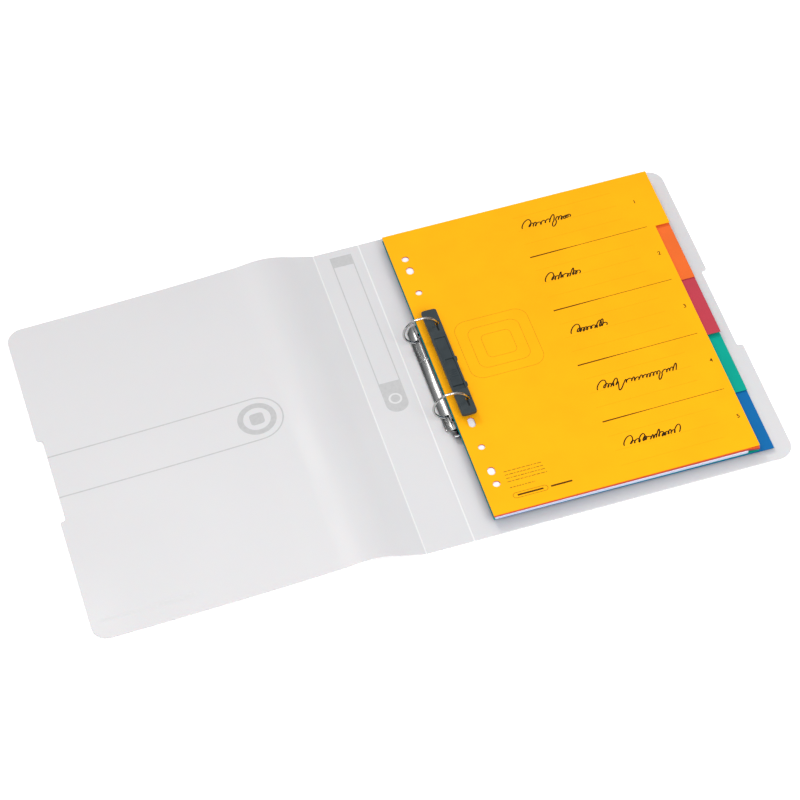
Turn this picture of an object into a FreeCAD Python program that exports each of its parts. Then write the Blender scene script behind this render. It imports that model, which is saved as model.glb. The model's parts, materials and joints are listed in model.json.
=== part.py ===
"""Two-ring binder with a page retainer, five tabbed dividers and loose paper.

Frame: millimetres, +Z up, +Y along the spine, origin at the centre of the spine's underside.
The file lies open: back cover to +X, front cover to -X, pages on the rings over the back cover.
"""
import math
import os
import re

import FreeCAD
import Part

DIMS = {
    # covers: one polypropylene sheet with two creases
    "cover_height": 315.0, "cover_width": 258.0, "spine_width": 38.0, "sheet_wall": 0.8,
    "crease_gap": 1.2, "corner_radius": 13.0, "notch_length": 82.0, "notch_depth": 4.5,
    "notch_radius": 2.2, "strip_width": 37.8, "strip_slope": 17.5, "panel_slope": 2.7,
    # rings
    "ring_x": 37.4, "wire_foot": 3.25, "ring_radius": 14.0, "wire_radius": 1.05, "ring_spacing": 80.0,
    "stub_offset": 3.4, "stub_radius": 0.9, "tip_gap": 0.2, "wire_clearance": 0.3,
    # housing and blades
    "housing_width": 16.0, "housing_length": 110.0, "housing_height": 5.3, "housing_wall": 0.8,
    "housing_shoulder": 2.2, "housing_lift": 0.1, "housing_y": 1.0, "end_bevel": 4.0,
    "blade_width": 6.9, "blade_low": -49.0, "blade_high": 49.5, "blade_thick": 0.9,
    "blade_slope": 4.0, "blade_gap": 0.15, "pivot_rise": 1.9, "blade_clearance": 0.7,
    # lever and its pin
    "pin_y": -50.8, "pin_rise": 1.95, "pin_radius": 0.8, "pin_clearance": 0.05, "barrel_radius": 1.6,
    "lever_width": 8.0, "lever_thick": 0.9, "lever_arm": 10.4, "lever_rise": 4.0, "curl_radius": 0.7,
    "tongue_length": 2.8, "tongue_width": 3.0, "tongue_thick": 0.45, "tongue_rise": 0.6,
    # rivets
    "rivet_y": 45.5, "rivet_radius": 1.9, "rivet_wall": 0.5, "rivet_head": 3.4, "rivet_flange": 0.35,
    "rivet_clearance": 0.1, "rivet_rim": 0.6, "rivet_rim_lift": 0.02,
    # sheets
    "page_height": 297.0, "paper_width": 202.5, "divider_width": 212.7, "tab_width": 12.3,
    "tab_height": 59.4, "tab_overlap": 3.0, "divider_thick": 0.3, "paper_thick": 3.2, "layer_gap": 0.08,
    "stack_rise": 11.9, "divider_edge": 0.1, "paper_edge": 1.2, "spare_inset": 11.1, "hole_radius": 3.0,
    "slack_top": 0.35, "slack_foot": 0.7, "turn_per_layer": 0.12, "turn_paper": 0.21, "turn_below": 0.25,
    "side_hole": 120.0, "side_hole_radius": 2.75, "oval_far": 107.0, "oval_far_length": 8.0,
    "round_near": 82.5, "oval_near": 57.0, "oval_near_length": 10.0,
    # retainer bar and slider
    "bar_inset": 9.05, "bar_width": 12.3, "bar_length": 110.0, "bar_thick": 2.6,
    "bar_lift": 6.7, "bar_radius": 2.2, "bar_slot_inset": 1.9, "bar_slot_width": 3.7,
    "bar_slot_below": 1.5, "bar_slot_above": 2.0, "slit_inset": 1.7, "slit_width": 1.5,
    "slit_length": 6.5, "slit_depth": 0.9,
    "channel_width": 10.4, "channel_depth": 1.3, "channel_end": 3.0, "slider_clearance": 0.15,
    "slider_travel": 5.0, "window_low": -30.0, "window_high": 25.0, "window_width": 9.2,
    "slider_hole": 2.0, "hole_shift": -0.3, "grip_width": 3.4, "thumb_drop": 0.5, "thumb_notch_y": 1.0,
    "thumb_notch": 3.4, "thumb_depth": 1.3, "thumb_inset": 3.0,
}

doc = FreeCAD.newDocument("ring_binder")
sheet = doc.addObject("Spreadsheet::Sheet", "dims")
for row, (alias, value) in enumerate(DIMS.items(), start=1):
    sheet.set("A%d" % row, alias)
    sheet.set("B%d" % row, str(value))
    sheet.setAlias("B%d" % row, alias)
doc.recompute()

# heights above the table of what stands on the cover
PIVOT_Z = "(sheet_wall + pivot_rise)"
PIN_Z = "(sheet_wall + pin_rise)"
RING_Z = "(sheet_wall + wire_foot + sqrt(ring_radius ^ 2 - stub_offset ^ 2))"
BAR_LOW = "(sheet_wall + stack_rise + bar_lift)"
# x of the wire's centre at half the height of the retainer bar
WIRE_X = "(ring_x + sqrt(ring_radius ^ 2 - (%s - %s - bar_thick / 2) ^ 2))" % (RING_Z, BAR_LOW)

BOUND = re.compile(r"[a-z][a-z_]+[a-z]")
AXES = ("x", "y", "z")
NODES = {}


def value(alias):
    """Return one driving dimension as a plain number."""
    return float(sheet.get(alias))


def above_cover(alias):
    """Return the height above the table of a size that is measured from the cover's inside."""
    return value("sheet_wall") + value(alias)


def ring_z():
    """Return the height of the rings' centre line."""
    return above_cover("wire_foot") + math.sqrt(value("ring_radius") ** 2 - value("stub_offset") ** 2)


def bind(thing, prop, text):
    """Bind a property to an expression whose words are sheet aliases."""
    thing.setExpression(prop, BOUND.sub(lambda m: ("dims." if m.group(0) in DIMS else "") + m.group(0), text))


def place(thing, at):
    """Bind the three coordinates of a placement."""
    for axis, text in zip(AXES, at):
        bind(thing, "Placement.Base." + axis, text)
    return thing


def box(name, size, at):
    """Add a box with its low corner at the given place."""
    solid = doc.addObject("Part::Box", name)
    for prop, text in zip(("Length", "Width", "Height"), size):
        bind(solid, prop, text)
    return place(solid, at)


def cylinder(name, radius, height, at, axis="z"):
    """Add a cylinder that starts at the given place and runs along Z or X."""
    solid = doc.addObject("Part::Cylinder", name)
    bind(solid, "Radius", radius)
    bind(solid, "Height", height)
    turn = FreeCAD.Rotation(FreeCAD.Vector(0, 1, 0), 90 if axis == "x" else 0)
    solid.Placement = FreeCAD.Placement(FreeCAD.Vector(), turn)
    return place(solid, at)


def cut(name, base, tools):
    """Cut several tools from a base, one after another."""
    for index, tool in enumerate(tools):
        step = doc.addObject("Part::Cut", "%s_cut_%d" % (name, index))
        step.Base = base
        step.Tool = tool
        base = step
    return base


def fuse(name, pieces):
    """Fuse several overlapping pieces into one solid."""
    joined = doc.addObject("Part::MultiFuse", name + "_joined")
    joined.Shapes = pieces
    joined.Refine = True
    return joined


def fillet(name, base, radius, wanted):
    """Round the upright edges of a base that pass a test on their middle."""
    doc.recompute()
    rounded = doc.addObject("Part::Fillet", name + "_rounded")
    rounded.Base = base
    picks = []
    for number, edge in enumerate(base.Shape.Edges, start=1):
        run = edge.Vertexes[-1].Point - edge.Vertexes[0].Point
        if abs(run.z) > 0.9 * edge.Length and wanted(edge.CenterOfMass):
            picks.append((number, radius, radius))
    rounded.Edges = picks
    return rounded


def node(name, piece, placement=None):
    """Name a finished piece, and place its own copy when it is turned."""
    if placement is not None:
        doc.recompute()
        turned = doc.addObject("Part::Feature", name)
        turned.Shape = piece.Shape.copy()
        turned.Placement = placement.multiply(piece.Placement)
        piece = turned
    piece.Label = name
    NODES[name] = piece


def turn_about_ring(degrees):
    """Return the placement that turns a piece about the rings' centre line, right side down."""
    centre = FreeCAD.Vector(value("ring_x"), 0, ring_z())
    return FreeCAD.Placement(FreeCAD.Vector(), FreeCAD.Rotation(FreeCAD.Vector(0, 1, 0), degrees), centre)


def cover_plate(name, start, length):
    """Return one cover as a plate that runs from x = start, its notch and round corners far out."""
    plate = box(name + "_plate", (length, "cover_height", "sheet_wall"), (start, "-cover_height / 2", "0"))
    notch = box(name + "_notch", ("2 * notch_depth", "notch_length", "4 * sheet_wall"),
                (start + " + " + length + " - notch_depth", "-notch_length / 2", "-sheet_wall"))
    plain = cut(name, plate, [notch])
    doc.recompute()
    far = plain.Shape.BoundBox.XMax
    half = value("cover_height") / 2
    corners = fillet(name, plain, value("corner_radius"), lambda p: p.x > far - 0.1 and abs(p.y) > half - 0.1)
    inner = value("notch_length") / 2
    return fillet(name + "_notch", corners, value("notch_radius"),
                  lambda p: p.x > far - value("notch_depth") - 0.1 and abs(abs(p.y) - inner) < 0.1)


def covers():
    """Build the back cover, the spine and the two stretches of the front cover."""
    back = cover_plate("back", "spine_width / 2 + crease_gap / 2", "cover_width - crease_gap / 2")
    holes = []
    for side in ("-", ""):
        holes.append(cylinder("back_hole", "rivet_radius + rivet_clearance", "4 * sheet_wall",
                              ("ring_x", side + "rivet_y", "-sheet_wall")))
        holes.append(cylinder("back_recess", "rivet_head + rivet_clearance", "sheet_wall + rivet_flange",
                              ("ring_x", side + "rivet_y", "-sheet_wall")))
    node("back_cover", cut("back_holes", back, holes))

    node("spine_panel", box("spine", ("spine_width - crease_gap", "cover_height", "sheet_wall"),
                            ("-spine_width / 2 + crease_gap / 2", "-cover_height / 2", "0")))

    strip = box("strip", ("strip_width - crease_gap", "cover_height", "sheet_wall"),
                ("-strip_width + crease_gap / 2", "-cover_height / 2", "-sheet_wall / 2"))
    crease = FreeCAD.Vector(-value("spine_width") / 2, 0, value("sheet_wall") / 2)
    up = FreeCAD.Rotation(FreeCAD.Vector(0, 1, 0), value("strip_slope"))
    node("front_cover_strip", strip, FreeCAD.Placement(crease, up))

    panel = cover_plate("panel", "0", "cover_width - strip_width - crease_gap / 2")
    flex = crease + up.multVec(FreeCAD.Vector(-value("strip_width"), 0, 0))
    down = FreeCAD.Rotation(FreeCAD.Vector(0, 1, 0), -value("panel_slope"))
    mirror = FreeCAD.Rotation(FreeCAD.Vector(0, 0, 1), 180)
    start = FreeCAD.Vector(-value("crease_gap") / 2, 0, -value("sheet_wall") / 2)
    node("front_cover_panel", panel, FreeCAD.Placement(flex, down).multiply(FreeCAD.Placement(start, mirror)))


def housing():
    """Build the arched steel housing with its ring slots, bead, pin holes and rivet holes."""
    half = value("housing_width") / 2
    low = value("sheet_wall") + value("housing_lift")
    shoulder = low + value("housing_shoulder")
    top = value("sheet_wall") + value("housing_height")

    def arch(width, inset, lower):
        """Return a face of the arched section, inset from the outside by a wall."""
        left = FreeCAD.Vector(-width, 0, lower)
        wire = [Part.LineSegment(left, FreeCAD.Vector(-width, 0, shoulder)),
                Part.Arc(FreeCAD.Vector(-width, 0, shoulder), FreeCAD.Vector(0, 0, top - inset),
                         FreeCAD.Vector(width, 0, shoulder)),
                Part.LineSegment(FreeCAD.Vector(width, 0, shoulder), FreeCAD.Vector(width, 0, lower)),
                Part.LineSegment(FreeCAD.Vector(width, 0, lower), left)]
        return Part.Face(Part.Wire([piece.toShape() for piece in wire]))

    length = value("housing_length")
    wall = value("housing_wall")
    shell = arch(half, 0, low).extrude(FreeCAD.Vector(0, length, 0))
    hollow = arch(half - wall, wall, low - wall).extrude(FreeCAD.Vector(0, length + 2, 0))
    hollow.translate(FreeCAD.Vector(0, -1, 0))
    shell = shell.cut(hollow)
    reach = value("end_bevel")
    for end in (0, length):
        for side in (-1, 1):
            inward = 1 if end == 0 else -1
            corner = [FreeCAD.Vector(side * (half + 1), end - inward, 0),
                      FreeCAD.Vector(side * (half - reach), end - inward, 0),
                      FreeCAD.Vector(side * (half + 1), end + inward * (reach + 1), 0)]
            bevel = Part.Face(Part.makePolygon(corner + corner[:1])).extrude(FreeCAD.Vector(0, 0, top + 1))
            shell = shell.cut(bevel)
    raw = doc.addObject("Part::Feature", "housing_shell")
    raw.Shape = shell
    raw.Placement.Base = FreeCAD.Vector(value("ring_x"), value("housing_y") - length / 2, 0)

    slots = []
    for side in ("-", ""):
        for hand in (-1, 1):
            start = "stub_offset - wire_radius - wire_clearance"
            span = "housing_width / 2"
            near = "ring_x + " + start if hand > 0 else "ring_x - (" + start + ") - " + span
            slots.append(box("ring_slot", (span, "2 * (wire_radius + wire_clearance)", "housing_height"),
                             (near, side + "ring_spacing / 2 - wire_radius - wire_clearance",
                              PIVOT_Z + " + blade_thick")))
        slots.append(cylinder("housing_rivet_hole", "rivet_radius + rivet_clearance", "2 * housing_height",
                              ("ring_x", side + "rivet_y", "0")))
    slots.append(cylinder("housing_pin_hole", "pin_radius", "housing_width + 2",
                          ("ring_x - housing_width / 2 - 1", "pin_y", PIN_Z), "x"))
    node("mechanism_housing", cut("housing", raw, slots))


def blades_and_rings():
    """Build the two hinged blades and the four half rings that stand on them."""
    pivot = value("housing_width") / 2 - value("housing_wall") - value("blade_gap")
    for hand, side_name in ((-1, "left"), (1, "right")):
        plate = box("blade_" + side_name, ("blade_width", "blade_high - blade_low", "blade_thick"),
                    ("0" if hand < 0 else "-blade_width", "blade_low", "-blade_thick / 2"))
        edge = FreeCAD.Vector(value("ring_x") + hand * pivot, 0, above_cover("pivot_rise"))
        lean = FreeCAD.Rotation(FreeCAD.Vector(0, 1, 0), -hand * value("blade_slope"))
        leaned = doc.addObject("Part::Feature", "blade_leaned_" + side_name)
        doc.recompute()
        leaned.Shape = plate.Shape.copy()
        leaned.Placement = FreeCAD.Placement(edge, lean).multiply(plate.Placement)
        sign = "-" if hand < 0 else "+"
        holes = []
        for side in ("-", ""):
            holes.append(cylinder("blade_stub_hole", "stub_radius", RING_Z,
                                  ("ring_x %s stub_offset" % sign, side + "ring_spacing / 2", "0")))
            holes.append(cylinder("blade_rivet_hole", "rivet_radius + blade_clearance", RING_Z,
                                  ("ring_x", side + "rivet_y", "0")))
        node("blade_" + side_name, cut("blade_" + side_name, leaned, holes))

        foot = math.degrees(math.acos(value("stub_offset") / value("ring_radius")))
        tip = math.degrees(value("tip_gap") / 2 / value("ring_radius"))
        for place_name, side in (("lower", "-"), ("upper", "")):
            name = "ring_%s_%s" % (place_name, side_name)
            wire = doc.addObject("Part::Torus", name + "_wire")
            bind(wire, "Radius1", "ring_radius")
            bind(wire, "Radius2", "wire_radius")
            wire.Angle3 = 90 + foot - tip
            stand = FreeCAD.Rotation(FreeCAD.Vector(1, 0, 0), 90)
            start = -foot if hand > 0 else 90 + tip
            wire.Placement = FreeCAD.Placement(
                FreeCAD.Vector(), stand.multiply(FreeCAD.Rotation(FreeCAD.Vector(0, 0, 1), start)))
            place(wire, ("ring_x", side + "ring_spacing / 2", RING_Z))
            depth = "wire_foot - pivot_rise + blade_thick"
            stub = cylinder(name + "_stub", "stub_radius", depth,
                            ("ring_x %s stub_offset" % sign, side + "ring_spacing / 2",
                             PIVOT_Z + " - blade_thick"))
            node(name, fuse(name, [wire, stub]))


def lever():
    """Build the end lever, its pin, and the tongue that lifts the blades."""
    pin_y = value("pin_y")
    barrel = cylinder("lever_barrel", "barrel_radius", "lever_width",
                      ("ring_x - lever_width / 2", "pin_y", PIN_Z), "x")
    tongue = box("lever_tongue", ("tongue_width", "tongue_length", "tongue_thick"),
                 ("ring_x - tongue_width / 2", "pin_y", "sheet_wall + tongue_rise - tongue_thick"))
    thick, arm, curl = value("lever_thick"), value("lever_arm"), value("curl_radius")
    width, middle = value("lever_width"), value("ring_x")
    strip = Part.makeBox(width, arm, thick, FreeCAD.Vector(-width / 2, -arm, 0))
    ring = Part.makeCylinder(curl + thick, width, FreeCAD.Vector(-width / 2, -arm, curl + thick),
                             FreeCAD.Vector(1, 0, 0), 360)
    ring = ring.cut(Part.makeCylinder(curl, width, FreeCAD.Vector(-width / 2, -arm, curl + thick),
                                      FreeCAD.Vector(1, 0, 0), 360))
    keep = Part.makeBox(width, 3 * curl, 2 * (curl + thick), FreeCAD.Vector(-width / 2, -arm - 3 * curl, 0))
    curled = strip.fuse(ring.common(keep)).removeSplitter()
    arm_feature = doc.addObject("Part::Feature", "lever_arm_strip")
    arm_feature.Shape = curled
    arm_feature.Placement = FreeCAD.Placement(
        FreeCAD.Vector(middle, pin_y, above_cover("pin_rise") + thick / 2),
        FreeCAD.Rotation(FreeCAD.Vector(1, 0, 0), -value("lever_rise")))
    bore = cylinder("lever_bore", "pin_radius + pin_clearance", "lever_width + 2",
                    ("ring_x - lever_width / 2 - 1", "pin_y", PIN_Z), "x")
    whole = fuse("lever", [barrel, tongue, arm_feature])
    node("end_lever", cut("end_lever", whole, [bore]))
    node("lever_pin", cylinder("lever_pin", "pin_radius", "housing_width",
                               ("ring_x - housing_width / 2", "pin_y", PIN_Z), "x"))


def rivets():
    """Build the two tubular rivets, flush with the cover's outside and rolled over the housing."""
    for name, side in (("rivet_lower", "-"), ("rivet_upper", "")):
        rivet_y = side + "rivet_y"
        at_top = "sheet_wall + housing_height"
        tube = cylinder(name + "_tube", "rivet_radius", at_top + " + rivet_flange", ("ring_x", rivet_y, "0"))
        foot = cylinder(name + "_foot", "rivet_head", "rivet_flange", ("ring_x", rivet_y, "0"))
        rim = cylinder(name + "_rim", "rivet_radius + rivet_rim", "rivet_flange",
                       ("ring_x", rivet_y, at_top + " + rivet_rim_lift"))
        bore = cylinder(name + "_bore", "rivet_radius - rivet_wall", "4 * housing_height",
                        ("ring_x", rivet_y, "rivet_flange"))
        node(name, cut(name, fuse(name, [tube, foot, rim]), [bore]))


def ring_side(height):
    """Return how far from the ring centre line the wire's centre is at a height."""
    return math.sqrt(value("ring_radius") ** 2 - (ring_z() - height) ** 2)


def slack(height):
    """Return how far outside the wire's centre the hole of a sheet at this height lies."""
    share = (above_cover("stack_rise") - height) / (value("paper_thick") + 5 * value("divider_thick"))
    return value("slack_top") + share * (value("slack_foot") - value("slack_top"))


def hole_centre(height):
    """Return the x of the filing holes of a sheet at this height."""
    return value("ring_x") + ring_side(height) + slack(height)


def sheet_holes(name, ring_row, spare_row, low, high):
    """Return upright cutters for a divider's two ring holes and its row of spare filing holes."""
    drop = low - 1
    reach = high - low + 2
    tools = []

    def punch(centre, y, radius, length):
        """Add one round or oval hole."""
        solid = Part.makeCylinder(radius, reach, FreeCAD.Vector(centre, y - length / 2, drop))
        if length:
            solid = solid.fuse(Part.makeCylinder(radius, reach, FreeCAD.Vector(centre, y + length / 2, drop)))
            middle = FreeCAD.Vector(centre - radius, y - length / 2, drop)
            solid = solid.fuse(Part.makeBox(2 * radius, length, reach, middle))
        feature = doc.addObject("Part::Feature", name + "_hole")
        feature.Shape = solid.removeSplitter() if length else solid
        tools.append(feature)

    large, small = value("hole_radius"), value("side_hole_radius")
    for sign in (-1, 1):
        punch(ring_row, sign * value("ring_spacing") / 2, large, 0)
        punch(spare_row, sign * value("side_hole"), large, 0)
        punch(spare_row, sign * value("oval_far"), large, value("oval_far_length") - 2 * large)
        punch(spare_row, sign * value("round_near"), small, 0)
        punch(spare_row, sign * value("oval_near"), small, value("oval_near_length") - 2 * small)
    return tools


def pages():
    """Build the five dividers and the paper, each turned a little about the ring centre line."""
    thick, gap = value("divider_thick"), value("layer_gap")
    half = value("page_height") / 2
    left = value("ring_x") + value("divider_edge")
    top = above_cover("stack_rise")
    degrees = 0.0
    for tab in range(5):
        if tab == 3:
            low = top - value("paper_thick")
            degrees += value("turn_paper") - value("turn_per_layer")
            paper("paper_stack", low, top, degrees)
            degrees += value("turn_below")
            top = low - gap
        name = "divider_%d" % (tab + 1)
        low = top - thick
        leaf = Part.makeBox(value("divider_width"), value("page_height"), thick,
                            FreeCAD.Vector(left, -half, low))
        tab_low = half - (tab + 1) * value("tab_height")
        ear_height = value("tab_height") + (value("tab_overlap") if tab else 0)
        ear = Part.makeBox(value("tab_width") + 1, ear_height, thick,
                           FreeCAD.Vector(left + value("divider_width") - 1, tab_low, low))
        feature = doc.addObject("Part::Feature", name + "_leaf")
        feature.Shape = leaf.fuse(ear).removeSplitter()
        holes = sheet_holes(name, hole_centre((low + top) / 2), left + value("spare_inset"), low, top)
        node(name, cut(name, feature, holes), turn_about_ring(degrees))
        degrees += value("turn_below") if tab > 2 else value("turn_per_layer")
        top = low - gap


def paper(name, low, high, degrees):
    """Build the loose sheets as one square block whose two holes slant along the rings."""
    foot, head = hole_centre(low), hole_centre(high)
    corner = FreeCAD.Vector(value("ring_x") + value("paper_edge"), -value("page_height") / 2, low)
    block = Part.makeBox(value("paper_width"), value("page_height"), high - low, corner)
    slant = FreeCAD.Vector(head - foot, 0, high - low)
    for sign in (-1, 1):
        start = FreeCAD.Vector(foot, sign * value("ring_spacing") / 2, low) - slant
        block = block.cut(Part.makeCylinder(value("hole_radius"), 3 * slant.Length, start, slant))
    feature = doc.addObject("Part::Feature", name + "_block")
    feature.Shape = block
    node(name, feature, turn_about_ring(degrees))


def retainer():
    """Build the page retainer bar and the slider that locks it on the rings."""
    base = BAR_LOW
    left = WIRE_X + " - bar_inset"
    middle = left + " + bar_width / 2"
    bar = box("bar", ("bar_width", "bar_length", "bar_thick"), (left, "-bar_length / 2", base))
    rounded = fillet("bar", bar, value("bar_radius"), lambda p: True)
    tools = [box("bar_channel", ("channel_width", "bar_length - 2 * channel_end", "channel_depth + 1"),
                 (middle + " - channel_width / 2", "-bar_length / 2 + channel_end", base + " - 1")),
             box("bar_window", ("window_width", "window_high - window_low", "2 * bar_thick"),
                 (middle + " - window_width / 2", "window_low", base))]
    for side in ("-", ""):
        ring_y = side + "ring_spacing / 2"
        tools.append(box("bar_slot", ("bar_slot_width", "bar_slot_below + bar_slot_above", "4 * bar_thick"),
                         (WIRE_X + " - bar_slot_inset", ring_y + " - bar_slot_below", base + " - bar_thick")))
        tools.append(box("bar_slit", ("slit_width", "slit_length", "bar_thick"),
                         (WIRE_X + " - slit_inset", ring_y + " - bar_slot_below - slit_length",
                          base + " + bar_thick - slit_depth")))
    node("retainer_bar", cut("retainer_bar", rounded, tools))

    clear = " - 2 * slider_clearance"
    low = base + " + slider_clearance"
    plate = box("slider_plate",
                ("channel_width" + clear, "bar_length - 2 * channel_end - slider_travel" + clear,
                 "channel_depth" + clear),
                (middle + " - channel_width / 2 + slider_clearance",
                 "-bar_length / 2 + channel_end + slider_travel + slider_clearance", low))
    thumb = box("slider_thumb", ("window_width" + clear, "window_high - window_low - slider_travel" + clear,
                                 "bar_thick - slider_clearance - thumb_drop"),
                (middle + " - window_width / 2 + slider_clearance",
                 "window_low + slider_travel + slider_clearance", low))
    notch = box("slider_notch", ("channel_width", "thumb_notch", "thumb_depth + 1"),
                (middle + " - channel_width / 2 + thumb_inset", "thumb_notch_y - thumb_notch / 2",
                 base + " + bar_thick - thumb_depth"))
    tools = [notch]
    for side in ("-", ""):
        ring_y = side + "ring_spacing / 2"
        tools.append(cylinder("slider_hole", "slider_hole", "bar_thick * 4",
                              (WIRE_X + " + hole_shift", ring_y, base + " - bar_thick")))
        tools.append(box("slider_grip",
                         ("grip_width", "slider_travel + wire_radius + wire_clearance", "bar_thick * 4"),
                         (WIRE_X + " - grip_width / 2", ring_y, base + " - bar_thick")))
    node("retainer_slider", cut("retainer_slider", fuse("slider", [plate, thumb]), tools))


def check_document():
    """Stop if any object failed or any piece is not one valid solid."""
    doc.recompute()
    for thing in doc.Objects:
        if "Invalid" in thing.State or "Error" in thing.State:
            raise RuntimeError("failed object: %s" % thing.Name)
    for name, piece in NODES.items():
        if piece.Shape.isNull() or not piece.Shape.isValid() or len(piece.Shape.Solids) != 1:
            raise RuntimeError("bad piece: %s %d" % (name, len(piece.Shape.Solids)))


def export():
    """Write each piece to its own file."""
    os.makedirs("parts", exist_ok=True)
    for name, piece in NODES.items():
        piece.Shape.exportStep("parts/%s.step" % name)
        bounds = piece.Shape.BoundBox
        print("%-20s %9.1f mm3  x %.1f..%.1f  y %.1f..%.1f  z %.2f..%.2f" % (
            name, piece.Shape.Volume, bounds.XMin, bounds.XMax, bounds.YMin, bounds.YMax,
            bounds.ZMin, bounds.ZMax))


covers()
housing()
blades_and_rings()
lever()
rivets()
pages()
retainer()
check_document()
export()
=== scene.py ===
"""Two-ring binder with dividers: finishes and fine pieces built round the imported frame."""

from __future__ import annotations

import json
import logging
import math
import random
from dataclasses import dataclass, field
from enum import Enum

import bmesh
import bpy
from mathutils import Euler, Matrix, Vector


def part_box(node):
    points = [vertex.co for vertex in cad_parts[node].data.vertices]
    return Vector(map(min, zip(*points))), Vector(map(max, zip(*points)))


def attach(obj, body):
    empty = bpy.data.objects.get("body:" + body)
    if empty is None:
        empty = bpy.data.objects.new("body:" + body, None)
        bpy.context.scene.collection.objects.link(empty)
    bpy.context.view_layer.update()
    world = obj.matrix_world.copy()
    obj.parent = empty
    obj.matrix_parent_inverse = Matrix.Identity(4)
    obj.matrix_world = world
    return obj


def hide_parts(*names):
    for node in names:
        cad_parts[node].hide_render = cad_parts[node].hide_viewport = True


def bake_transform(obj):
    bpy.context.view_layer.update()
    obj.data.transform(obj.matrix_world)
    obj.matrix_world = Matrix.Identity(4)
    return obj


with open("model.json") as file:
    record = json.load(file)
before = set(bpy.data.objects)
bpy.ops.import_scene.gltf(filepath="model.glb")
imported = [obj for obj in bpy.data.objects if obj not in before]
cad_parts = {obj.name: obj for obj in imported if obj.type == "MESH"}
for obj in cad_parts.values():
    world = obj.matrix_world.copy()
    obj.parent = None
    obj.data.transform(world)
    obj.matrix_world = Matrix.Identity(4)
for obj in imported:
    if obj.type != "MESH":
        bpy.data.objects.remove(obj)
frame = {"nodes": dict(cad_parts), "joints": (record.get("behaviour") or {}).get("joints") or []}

LOG = logging.getLogger("binder")
MM = 0.001
Point = tuple[float, float]
Colour = tuple[float, float, float]


class Body(str, Enum):
    """The moving bodies of the frame that pieces ride on."""

    BACK = "back"
    SPINE = "spine"
    STRIP = "front_strip"
    PANEL = "front_panel"
    LEFT_RINGS = "left_rings"
    RIGHT_RINGS = "right_rings"
    PAPER = "paper"
    TOP_DIVIDER = "divider_1"
    SECOND_DIVIDER = "divider_2"
    THIRD_DIVIDER = "divider_3"
    RETAINER = "retainer"
    SLIDER = "slider"


class Slot(str, Enum):
    """The material slots of the record; no piece below takes its finish from them."""

    COVER = "cover"
    PLATED = "plated"
    RETAINER = "retainer"
    PAPER = "paper"


# --------------------------------------------------------------------------- frame


def find_joint(name: str) -> dict:
    """Return the frame's record of the joint with this name."""
    for joint in frame["joints"]:
        if joint["name"] == name:
            return joint
    raise ValueError(f"no joint named {name}")


def joint_place(name: str) -> Vector:
    """Return a point on a hinge's axis, in metres."""
    return Vector(find_joint(name)["pos_m"])


def joint_span(name: str) -> float:
    """Return how far a hinge turns, in radians."""
    low, high = find_joint(name)["range_deg"]
    return math.radians(high - low)


# --------------------------------------------------------------------------- finishes


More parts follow.
